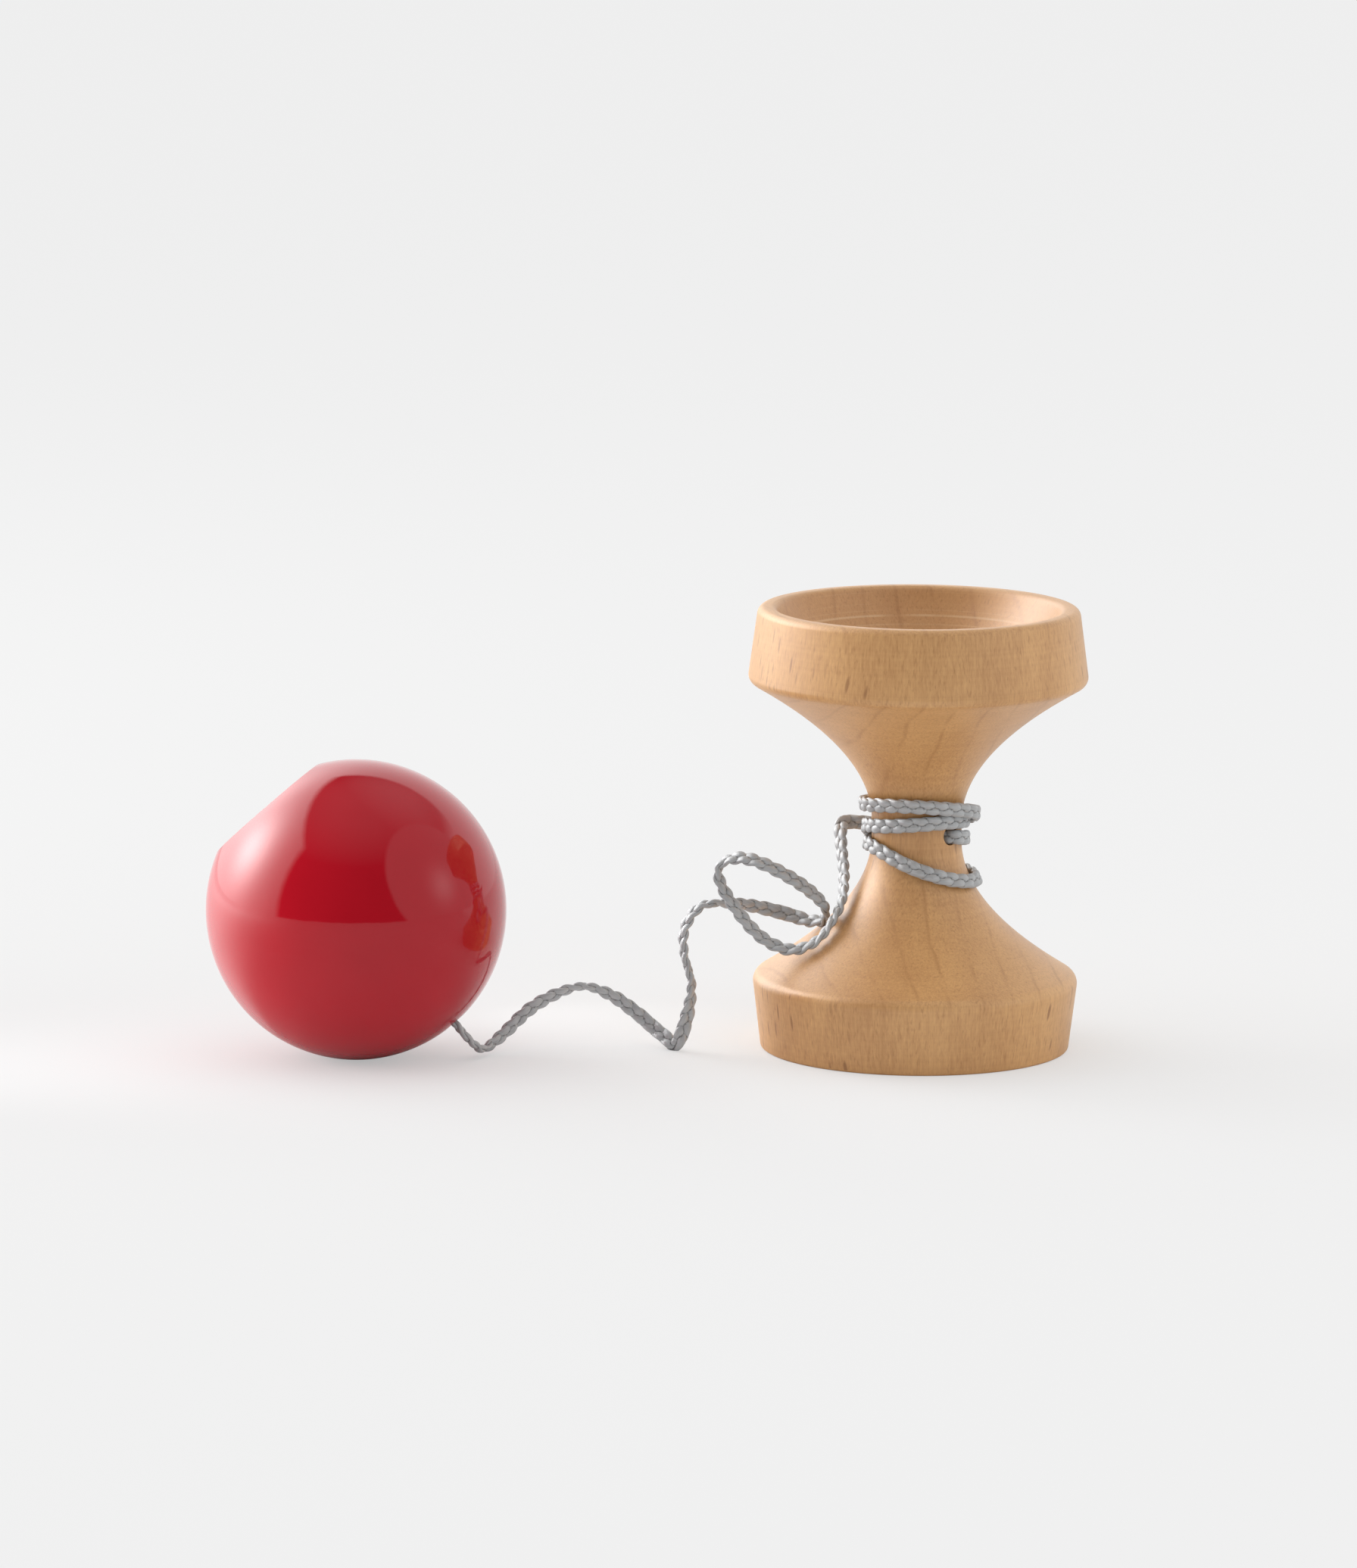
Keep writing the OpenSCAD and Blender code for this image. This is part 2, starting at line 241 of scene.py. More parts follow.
# Held part: out of the glued hole, round the waist and off to the left, with the way that its face looks
def heldPart():
    angle = np.arange(cord["windFrom"], cord["windTo"] + 1, cord["windStep"])
    z = cup["waistZ"] + eased(angle, windRise)
    half = cord["solidWidth"] / 2
    edgeR = np.maximum(woodRadius(z - half), woodRadius(z + half)) + cord["room"] + cord["solidThick"] / 2
    slope = (woodRadius(z + half) - woodRadius(z - half)) / cord["solidWidth"]
    laidR = woodRadius(z) + (cord["room"] + cord["solidThick"] / 2) * np.sqrt(1 + slope ** 2)
    r = (edgeR + laidR) / 2 + eased(angle, windLift)
    rad = np.radians(angle)
    wound = np.stack([r * np.sin(rad), -r * np.cos(rad), z], 1)
    woundOut = np.stack([np.sin(rad), -np.cos(rad), -slope], 1)
    a = math.radians(cord["anchorAngle"])
    bend = a + math.radians(cord["anchorBend"])
    anchorZ = cup["waistZ"] + cord["anchorRise"]
    reaches = [(a, waistR - depth) for depth in cord["anchorInside"]]
    reaches.append((bend, waistR + cord["anchorOutside"]))
    anchor = [(reach * math.sin(way), -reach * math.cos(way), anchorZ) for way, reach in reaches]
    anchorOut = [(-math.cos(a), -math.sin(a), 0)] * len(cord["anchorInside"])
    anchorOut.append((math.sin(a) - math.cos(a), -math.sin(a) - math.cos(a), 0))
    leaveY, leaveZ = wound[-1][1], cup["waistZ"] + cord["leaveRise"]
    leave = [(x, leaveY, leaveZ + cord["leaveSlope"] * (max(x, cord["leaveX"]) - cord["leaveX"]))
             for x in cord["leaveAt"]]
    leaveOut = [(0, 1, 0)] * len(leave)
    points, faces = np.vstack([anchor, wound, leave]), np.vstack([anchorOut, woundOut, leaveOut])
    held = smoothThrough(np.hstack([points, faces]), cord["heldSteps"])
    return held[:, :3], held[:, 3:]


# Free part: from the waist to the ball, through its bore and up to the knot
def freePart(start):
    depths = [-cord["solidWidth"], 0, cord["solidWidth"], 4 * cord["solidWidth"], ballR,
              ballR + pocketZ + cord["room"]]
    inBall = [tuple(ballExit + depth * ballAxis) + (cord["boreTurn"],) for depth in depths]
    free = smoothThrough([tuple(start) + (cord["leaveTurn"],)] + freePoints + inBall, cord["freeSteps"])
    run = runAlong(free[:, :3])
    front = squareTo(np.tile([0.0, -1, 0], (len(free), 1)), run)
    turn = np.radians(free[:, 3])[:, None]
    return free[:, :3], front * np.cos(turn) - np.cross(front, run) * np.sin(turn)


def cordLine():
    heldLine, heldFace = heldPart()
    freeLine, freeFace = freePart(heldLine[-1])
    line = np.vstack([heldLine, freeLine[1:]])
    face = squareTo(np.vstack([heldFace, freeFace[1:]]), runAlong(line))
    # even steps along the cord
    along = lengthAlong(line)
    at = np.linspace(0, along[-1], int(along[-1] / cord["ringStep"]))
    line, face = [np.stack([np.interp(at, along, rows[:, i]) for i in range(3)], 1) for rows in (line, face)]
    for i in range(cord["faceEasing"]):
        face[1:-1] = (face[:-2] + face[1:-1] * 2 + face[2:]) / 4
    run = runAlong(line)
    return at, line, run, squareTo(face, run)


# Strands that pass over and under each other along a line, with a UV map of turns round the strand and mm
# along it and, at each vertex, how close it lies to another strand, for the painted shade in the creases
def plaitMesh(name, at, line, run, face, material):
    wide = np.cross(face, run)
    sides = cord["strandSides"]
    ringAngle = np.arange(sides) / sides * math.tau
    axes, rings = [], []
    for strand in range(cord["strands"]):
        phase = math.tau * (at / cord["plaitPitch"] + strand / cord["strands"])
        sway = np.tanh(cord["swaySquare"] * np.sin(phase)) / math.tanh(cord["swaySquare"])
        centre = (line + wide * (cord["swayWide"] * sway)[:, None]
                  - face * (cord["swayThick"] * np.sin(2 * phase))[:, None])
        way = runAlong(centre)
        out = squareTo(face, way)
        across = np.cross(way, out)
        axes.append((centre, across / cord["strandWide"], out / cord["strandThick"]))
        rings.append(centre[:, None] + cord["strandWide"] * across[:, None] * np.cos(ringAngle)[:, None]
                     + cord["strandThick"] * out[:, None] * np.sin(ringAngle)[:, None])
    bm = bmesh.new()
    uvLayer = bm.loops.layers.uv.new("alongStrand")
    creaseLayer = bm.verts.layers.float.new("creaseShade")
    for strand, points in enumerate(rings):
        # the plait lies flat where it touches the table
        points[..., 2] = np.maximum(points[..., 2], cord["tableZ"])
        creaseShade = np.zeros(points.shape[:2])
        for centre, acrossShare, outShare in axes[:strand] + axes[strand + 1:]:
            off = points - centre[:, None]
            depth = (off * acrossShare[:, None]).sum(2) ** 2 + (off * outShare[:, None]).sum(2) ** 2
            creaseShade = np.maximum(creaseShade, np.clip(1 - (depth - 1) / cord["creaseReach"], 0, 1))
        # the thin edges of a strand stay free of the painted crease shade
        creaseShade *= np.clip(cord["creaseGain"] * np.abs(np.sin(ringAngle)) - cord["creaseCut"], 0, 1)
        verts = [[bm.verts.new(point * mm) for point in ring] for ring in points]
        for ring, shares in zip(verts, creaseShade):
            for vert, share in zip(ring, shares):
                vert[creaseLayer] = share
        for i, (low, high) in enumerate(zip(verts, verts[1:])):
            for k in range(sides):
                n = (k + 1) % sides
                quad = bm.faces.new((low[k], low[n], high[n], high[k]))
                spots = ((k, at[i]), (k + 1, at[i]), (k + 1, at[i + 1]), (k, at[i + 1]))
                for loop, (u, v) in zip(quad.loops, spots):
                    loop[uvLayer].uv = (u / sides, v)
        bm.faces.new(list(reversed(verts[0])))
        bm.faces.new(verts[-1])
    bmesh.ops.recalc_face_normals(bm, faces=bm.faces)
    return meshObject(name, bm, material)


# Spun polyester yarn: neutral grey, a silky gleam where a strand turns to the light, filaments along each
# strand and a dark line of painted shade in the crease where two strands press together
yarnLook = {"deep": "#95989a", "pale": "#b2b5b7", "creaseShade": "#3e3e3d", "rough": 0.48, "filamentTurns": 16,
            "filamentMm": 2, "patchMm": 7}


def plaitedYarn():
    material, tree = newMaterial("plaited polyester yarn")
    uv = addNode(tree, "ShaderNodeUVMap", {"uv_map": "alongStrand"})
    # filaments lie along the strand, drawn about 0.25 mm apart so that they show
    stretch = addNode(tree, "ShaderNodeMapping", {
        "Vector": uv, "Rotation": (0, 0, 0.12),
        "Scale": (yarnLook["filamentTurns"], 1 / yarnLook["filamentMm"], 1)})
    filament = addNode(tree, "ShaderNodeTexNoise", {
        "Vector": stretch, "Scale": 1.0, "Detail": 3.0, "Roughness": 0.6})
    place = addNode(tree, "ShaderNodeTexCoord", {}).outputs["Object"]
    patch = addNode(tree, "ShaderNodeTexNoise", {
        "Vector": place, "Scale": 1000 / yarnLook["patchMm"], "Detail": 2.0})
    part = addNode(tree, "ShaderNodeMath", {"operation": "MULTIPLY", 0: patch, 1: 0.4})
    tone = addNode(tree, "ShaderNodeMath", {"operation": "MULTIPLY_ADD", 0: filament, 1: 0.6, 2: part})
    body = addNode(tree, "ShaderNodeValToRGB", {"Fac": tone})
    body.color_ramp.elements[0].position, body.color_ramp.elements[1].position = 0.3, 0.7
    body.color_ramp.elements[0].color = hexColour(yarnLook["deep"])
    body.color_ramp.elements[1].color = hexColour(yarnLook["pale"])
    # painted shade, dark in the creases where strands press together
    pressed = addNode(tree, "ShaderNodeAttribute", {"attribute_name": "creaseShade"}).outputs["Fac"]
    creaseShade = addNode(tree, "ShaderNodeMapRange", {
        "Value": pressed, "From Min": 0.1, "From Max": 0.9, "To Max": 0.95})
    colour = addNode(tree, "ShaderNodeMix", {
        "data_type": "RGBA", 0: creaseShade, 6: body, 7: hexColour(yarnLook["creaseShade"])})
    bump = addNode(tree, "ShaderNodeBump", {"Height": filament, "Strength": 0.25, "Distance": 0.0002})
    skin = addNode(tree, "ShaderNodeBsdfPrincipled", {
        "Base Color": colour.outputs[2], "Normal": bump, "IOR": 1.6, "Roughness": yarnLook["rough"],
        "Specular IOR Level": 1.0})
    addNode(tree, "ShaderNodeOutputMaterial", {"Surface": skin})
    return material


yarn = plaitedYarn()
cordAt, cordPath, cordRun, cordFace = cordLine()
cordPiece = plaitMesh("plaitedCord", cordAt, cordPath, cordRun, cordFace, yarn)
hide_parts("cord_winding", "cord_free")
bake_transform(cordPiece)
print("cord laid, length in mm:", round(float(cordAt[-1]), 1))


# Points of a flare between two heights, without its ends
def flare(low, high):
    return [(float(woodRadius(z)), z) for z in np.linspace(low, high, cup["flareSteps"])[1:-1]]


# Cup: a spindle-turned profile with a hole for the cord's glued end
def cupProfile():
    steps = cup["edgeSteps"]
    bowlR, mouthR = ballR + cup["bowlRoom"], cup["rimD"] / 2 - cup["rimWall"]
    bowlZ = cup["height"] + math.sqrt(bowlR ** 2 - mouthR ** 2)
    foot, shoulder = (cup["footD"] / 2, 0), (cup["shoulderD"] / 2, cup["shoulderH"])
    band, rim, mouth = (cup["bandD"] / 2, bandZ), (cup["rimD"] / 2, cup["height"]), (mouthR, cup["height"])
    footUp = (shoulder[0] - foot[0], shoulder[1])
    bandUp = (rim[0] - band[0], rim[1] - band[1])
    lowRun = (-2 * (shoulder[0] - waistR) / (waistLow - shoulder[1]), 1)
    topRun = (-2 * (band[0] - waistR) / (bandZ - waistTop), -1)
    mouthRun = (-(bowlZ - cup["height"]) / mouthR, -1)
    shoulderArc = roundedCorner(shoulder, (-footUp[0], -footUp[1]), lowRun, cup["shoulderRound"], steps)
    bandArc = roundedCorner(band, topRun, bandUp, cup["bandRound"], steps)
    mouthArc = roundedCorner(mouth, (1, 0), mouthRun, cup["rimRound"], steps)
    bowlFrom = math.degrees(math.atan2(mouthArc[-1][1] - bowlZ, mouthArc[-1][0]))
    bowlArc = arcPoints((0, bowlZ), bowlR, bowlFrom, -90, cup["bowlSteps"])
    profile = [(0, 0)] + roundedCorner(foot, (-1, 0), footUp, cup["footRound"], cup["footSteps"])
    profile += shoulderArc + flare(shoulderArc[-1][1], waistLow)
    profile += [(waistR, waistLow), (waistR, cup["waistZ"]), (waistR, waistTop)]
    profile += flare(waistTop, bandArc[0][1]) + bandArc
    profile += roundedCorner(rim, (-bandUp[0], -bandUp[1]), (-1, 0), cup["rimRound"], steps) + mouthArc
    profile += [(max(r, 0), z) for r, z in bowlArc[1:-1]] + [(0, bowlZ - bowlR)]
    return profile


def turnedCup(material):
    piece = meshObject("turnedCup", turned(cupProfile(), cup["turnSteps"]), material, cup["sharpDeg"])
    # drilled hole
    drill = bmesh.new()
    holeR = ball["boreD"] / 2 * mm
    bmesh.ops.create_cone(drill, cap_ends=True, segments=cup["holeSides"], radius1=holeR, radius2=holeR,
                          depth=waistR * mm)
    a = math.radians(cord["anchorAngle"])
    middle = waistR - cord["anchorDepth"] + waistR / 2
    holeZ = cup["waistZ"] + cord["holeRise"]
    turn = Matrix.Rotation(a, 4, "Z") @ Matrix.Rotation(math.pi / 2, 4, "X")
    place = Matrix.Translation((middle * math.sin(a) * mm, -middle * math.cos(a) * mm, holeZ * mm))
    bmesh.ops.transform(drill, matrix=place @ turn, verts=drill.verts)
    bit = meshObject("drillBit", drill, material)
    cut = piece.modifiers.new("hole", "BOOLEAN")
    cut.operation, cut.object, cut.solver = "DIFFERENCE", bit, "EXACT"
    bpy.context.view_layer.update()
    done = bpy.data.meshes.new_from_object(piece.evaluated_get(bpy.context.evaluated_depsgraph_get()))
    piece.modifiers.clear()
    piece.data = done
    bpy.data.objects.remove(bit)
    done.set_sharp_from_angle(angle=math.radians(cup["sharpDeg"]))
    return piece


# Beech, turned with the grain upright and fine-sanded: warm tan, thin growth lines that cross the flares
# aslant, dark ray flecks where the bands face the radial way, fine pores that show as dashes on the bands and
# as speckle on the flares, tool marks in the bowl with painted highlights as pale rings, painted shade that
# deepens the inside of the bowl, a satin shine.
# Sizes are in mm, across the grain twice and then along it.
# The finest are drawn as coarse as they need to show
beech = {"light": "#d4a46c", "deep": "#bb8a57", "line": "#a06e3e", "fleck": "#8a5a32", "pore": "#99693c",
         "toolMarkGlint": "#ecd2ad", "grainTurn": 17, "ringMm": 6.8, "waverMm": 4.5, "fleckMm": (10, 1.1, 6.5),
         "rough": (0.38, 0.46),
         "noises": {"waver": ((22, 22, 34), 2.0), "patch": ((6, 6, 20), 1.0), "fibre": ((0.4, 0.4, 7), 3.0),
                    "cloud": ((18, 18, 40), 2.0), "gouge": ((4000, 4000, 1.1), 2.0),
                    "pore": ((0.4, 0.4, 2), 1.0)},
         "tone": {"fibre": 0.42, "cloud": 0.4, "gouge": 0.18},
         "relief": {"fibre": 0.3, "gouge": 0.4, "pore": -0.5}}


def turnedBeech():
    material, tree = newMaterial("turned beech")
    spots = addNode(tree, "ShaderNodeTexCoord", {}).outputs
    place = spots["Object"]
    grain = {}
    for name, (sizes, detail) in beech["noises"].items():
        spot = addNode(tree, "ShaderNodeMapping", {"Vector": place, "Scale": [1000 / size for size in sizes]})
        grain[name] = addNode(tree, "ShaderNodeTexNoise", {
            "Vector": spot, "Scale": 1.0, "Detail": detail, "Roughness": 0.6})
    turn = math.radians(beech["grainTurn"])
    radial = (math.cos(turn), math.sin(turn), 0)
    # the blank's growth layers, upright and nearly flat because the pith is far off
    depth = addNode(tree, "ShaderNodeVectorMath", {"operation": "DOT_PRODUCT", 0: place, 1: radial})
    layer = addNode(tree, "ShaderNodeMath", {
        "operation": "MULTIPLY_ADD", 0: grain["waver"], 1: beech["waverMm"] * mm, 2: depth.outputs["Value"]})
    years = addNode(tree, "ShaderNodeMath", {"operation": "DIVIDE", 0: layer, 1: beech["ringMm"] * mm})
    season = addNode(tree, "ShaderNodeMath", {"operation": "FRACT", 0: years})
    lateWood = addNode(tree, "ShaderNodeValToRGB", {"Fac": season})
    stops = lateWood.color_ramp.elements
    stops[0].position, stops[0].color = 0.0, (0.2, 0.2, 0.2, 1)
    stops[1].position, stops[1].color = 1.0, (0.2, 0.2, 0.2, 1)
    for position, level in ((0.05, 0.0), (0.5, 0.0), (0.86, 0.2), (0.92, 1.0), (0.96, 1.0)):
        stops.new(position).color = (level, level, level, 1)
    broken = addNode(tree, "ShaderNodeMapRange", {
        "Value": grain["patch"], "From Min": 0.36, "From Max": 0.62, "To Min": 0.06, "To Max": 0.38})
    lines = addNode(tree, "ShaderNodeMath", {"operation": "MULTIPLY", 0: lateWood, 1: broken})
    # the lines show where a flare cuts the layers aslant and are faint on the upright bands
    tilt = addNode(tree, "ShaderNodeVectorMath", {
        "operation": "DOT_PRODUCT", 0: spots["Normal"], 1: (0, 0, 1)})
    slope = addNode(tree, "ShaderNodeMath", {"operation": "ABSOLUTE", 0: tilt.outputs["Value"]})
    onFlare = addNode(tree, "ShaderNodeMapRange", {
        "Value": slope, "From Min": 0.2, "From Max": 0.5, "To Min": 0.4})
    lineShare = addNode(tree, "ShaderNodeMath", {"operation": "MULTIPLY", 0: lines, 1: onFlare})
    # rays: thin upright sheets along the radial way, dark where the surface cuts across them
    rayPlace = addNode(tree, "ShaderNodeMapping", {
        "vector_type": "TEXTURE", "Vector": place, "Rotation": (0, 0, turn),
        "Scale": [size * mm for size in beech["fleckMm"]]})
    cells = addNode(tree, "ShaderNodeTexVoronoi", {"Vector": rayPlace, "Scale": 1.0, "feature": "F1"})
    lens = addNode(tree, "ShaderNodeMapRange", {
        "Value": cells, "From Min": 0.18, "From Max": 0.32, "To Min": 1.0, "To Max": 0.0})
    chance = addNode(tree, "ShaderNodeSeparateColor", {"Color": cells.outputs["Color"]})
    dark = addNode(tree, "ShaderNodeMapRange", {
        "Value": chance, "From Min": 0.4, "From Max": 0.85, "To Max": 0.75})
    facing = addNode(tree, "ShaderNodeVectorMath", {
        "operation": "DOT_PRODUCT", 0: spots["Normal"], 1: radial})
    either = addNode(tree, "ShaderNodeMath", {"operation": "ABSOLUTE", 0: facing.outputs["Value"]})
    across = addNode(tree, "ShaderNodeMapRange", {"Value": either, "From Min": 0.35, "From Max": 0.6})
    onBand = addNode(tree, "ShaderNodeMapRange", {"Value": slope, "From Min": 0.45, "From Max": 0.2})
    fleckShare = lens
    for share in (dark, across, onBand):
        fleckShare = addNode(tree, "ShaderNodeMath", {"operation": "MULTIPLY", 0: fleckShare, 1: share})
    poreShare = addNode(tree, "ShaderNodeMapRange", {
        "Value": grain["pore"], "From Min": 0.56, "From Max": 0.76, "To Max": 0.42})
    # tool marks: thin pale rings, painted highlights where the marks catch the light, only in the bowl, where
    # the surface looks towards the axis
    level = addNode(tree, "ShaderNodeVectorMath", {"operation": "MULTIPLY", 0: place, 1: (1, 1, 0)})
    outward = addNode(tree, "ShaderNodeVectorMath", {
        "operation": "DOT_PRODUCT", 0: level, 1: spots["Normal"]})
    inBowl = addNode(tree, "ShaderNodeMapRange", {
        "Value": outward.outputs["Value"], "From Min": -0.003, "From Max": -0.012, "To Max": 0.5})
    ring = addNode(tree, "ShaderNodeMapRange", {
        "Value": grain["gouge"], "From Min": 0.54, "From Max": 0.62, "To Max": 0.6})
    patchy = addNode(tree, "ShaderNodeMapRange", {
        "Value": grain["cloud"], "From Min": 0.42, "From Max": 0.54})
    glintRings = addNode(tree, "ShaderNodeMath", {"operation": "MULTIPLY", 0: ring, 1: patchy})
    toolMarkGlintShare = addNode(tree, "ShaderNodeMath", {"operation": "MULTIPLY", 0: glintRings, 1: inBowl})
    # tone and relief from fibres along the grain, broad clouds, pores and the faint rings that the gouge left
    sums = {}
    for name in ("tone", "relief"):
        sums[name] = 0.0
        for part, share in beech[name].items():
            sums[name] = addNode(tree, "ShaderNodeMath", {
                "operation": "MULTIPLY_ADD", 0: grain[part], 1: share, 2: sums[name]})
    body = addNode(tree, "ShaderNodeValToRGB", {"Fac": sums["tone"]})
    body.color_ramp.elements[0].position, body.color_ramp.elements[1].position = 0.38, 0.62
    body.color_ramp.elements[0].color = hexColour(beech["deep"])
    body.color_ramp.elements[1].color = hexColour(beech["light"])
    colour = body.outputs[0]
    # inside the bowl the colour is mixed up to halfway towards the deep tone: painted shade in the hollow
    shares = {"deep": inBowl, "line": lineShare, "fleck": fleckShare, "pore": poreShare, "toolMarkGlint": toolMarkGlintShare}
    for name, share in shares.items():
        mixed = addNode(tree, "ShaderNodeMix", {
            "data_type": "RGBA", 0: share, 6: colour, 7: hexColour(beech[name])})
        colour = mixed.outputs[2]
    rough = addNode(tree, "ShaderNodeMapRange", {
        "Value": grain["fibre"], "To Min": beech["rough"][0], "To Max": beech["rough"][1]})
    bump = addNode(tree, "ShaderNodeBump", {"Height": sums["relief"], "Strength": 0.2, "Distance": 0.0002})
    skin = addNode(tree, "ShaderNodeBsdfPrincipled", {
        "Base Color": colour, "Roughness": rough, "Normal": bump, "IOR": 1.5, "Specular IOR Level": 0.65,
        "Sheen Weight": 0.03, "Sheen Roughness": 0.35})
    addNode(tree, "ShaderNodeOutputMaterial", {"Surface": skin})
    return material


cupPiece = turnedCup(turnedBeech())
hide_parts("cup_body")
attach(cupPiece, "cup")
print("cup turned")


# Ball: one turned profile with its bore, pocket and flat, leaned over as it lies
def turnedBall(material):
    boreR, pocketR, flatR = ball["boreD"] / 2, ball["pocketD"] / 2, ball["flatD"] / 2
    exitZ = -math.sqrt(ballR ** 2 - boreR ** 2)
    flatArc = roundedCorner((flatR, flatZ), (flatZ, -flatR), (-1, 0), ball["flatRound"], ball["edgeSteps"])
    exitArc = roundedCorner((boreR, exitZ), (0, 1), (-exitZ, boreR), ball["lipRound"], ball["lipSteps"])
    pocketArc = roundedCorner((pocketR, flatZ), (1, 0), (0, -1), ball["lipRound"], ball["lipSteps"])
    skinFrom = math.degrees(math.atan2(exitArc[-1][1], exitArc[-1][0]))
    skinTo = math.degrees(math.atan2(flatArc[0][1], flatArc[0][0]))
    profile = exitArc + arcPoints((0, 0), ballR, skinFrom, skinTo, ball["skinSteps"])[1:-1] + flatArc
    profile += pocketArc + [(pocketR, pocketZ), (boreR, pocketZ)]
    bm = turned(profile, ball["turnSteps"], closed=True)
    turn = Matrix.Rotation(heading, 4, "Z") @ Matrix.Rotation(lean, 4, "Y")
    bmesh.ops.transform(bm, matrix=Matrix.Translation(Vector(ballCentre * mm)) @ turn, verts=bm.verts)
    return meshObject("lacqueredBall", bm, material, ball["sharpDeg"])


# Red lacquer over wood: deep and even, high gloss, mirrors the pale room
lacquer = {"red": "#a91120", "deep": "#a20f1d", "rough": 0.06, "cloudMm": 25, "peelMm": 2.2}


def redLacquer():
    material, tree = newMaterial("red lacquer")
    place = addNode(tree, "ShaderNodeTexCoord", {}).outputs["Object"]
    cloud = addNode(tree, "ShaderNodeTexNoise", {
        "Vector": place, "Scale": 1000 / lacquer["cloudMm"], "Detail": 2.0})
    tone = addNode(tree, "ShaderNodeValToRGB", {"Fac": cloud})
    tone.color_ramp.elements[0].position, tone.color_ramp.elements[1].position = 0.35, 0.65
    tone.color_ramp.elements[0].color = hexColour(lacquer["deep"])
    tone.color_ramp.elements[1].color = hexColour(lacquer["red"])
    # orange peel of sprayed lacquer
    peel = addNode(tree, "ShaderNodeTexNoise", {
        "Vector": place, "Scale": 1000 / lacquer["peelMm"], "Detail": 1.0})
    bump = addNode(tree, "ShaderNodeBump", {"Height": peel, "Strength": 0.02, "Distance": 0.0003})
    skin = addNode(tree, "ShaderNodeBsdfPrincipled", {
        "Base Color": tone, "Normal": bump, "Roughness": lacquer["rough"], "Specular IOR Level": 0.5,
        "IOR": 1.47})
    addNode(tree, "ShaderNodeOutputMaterial", {"Surface": skin})
    return material


ballPiece = turnedBall(redLacquer())
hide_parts("ball")
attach(ballPiece, "ball_body")
print("ball turned")


# Stopper knot in the ball's pocket: an overhand knot of the same plait, pulled tight
knot = {"across": 2.55, "high": 1.5, "lift": 2.6, "rings": 260}


def stopperKnot(material):
    t = np.linspace(0, math.tau, knot["rings"])
    curve = np.stack([(np.sin(t) + 2 * np.sin(2 * t)) / 3 * knot["across"],
                      (np.cos(t) - 2 * np.cos(2 * t)) / 3 * knot["across"],
                      knot["lift"] - np.sin(3 * t) * knot["high"]], 1)
    turn = np.array(Matrix.Rotation(heading, 3, "Z") @ Matrix.Rotation(lean, 3, "Y"))
    seat = ballCentre + (pocketZ + cord["room"]) * ballAxis
    line = seat + curve @ turn.T
    run = runAlong(line)
    middle = seat + knot["lift"] * ballAxis
    return plaitMesh("stopperKnot", lengthAlong(line), line, run, squareTo(line - middle, run), material)


knotPiece = stopperKnot(yarn)
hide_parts("cord_knot")
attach(knotPiece, "tether")
print("knot tied")


# Table: a pale surface that runs on past the picture; the even light of the set leaves only a faint shadow.
# In the gloss of the object it carries on the lamp's glow on the left of the ball, stronger with the
# distance,
# and glows a little more farther back: painted reflections on the table. The left glow also lights the matt
# surfaces of the objects a little, painted light from a table that is no lamp
table = {"colour": "#f7f7f7", "mirrored": "#d4d4d4", "half": 30, "seen": 0.79, "seenShare": 0.54,
         "glowFrom": (-0.13, -0.0155, 0), "glowWay": (-0.966, 0.259, 0), "glowNarrow": 5, "glow": 4.2,
         "glowReach": 0.5, "glowMatt": 0.3, "backGlow": 0.25}


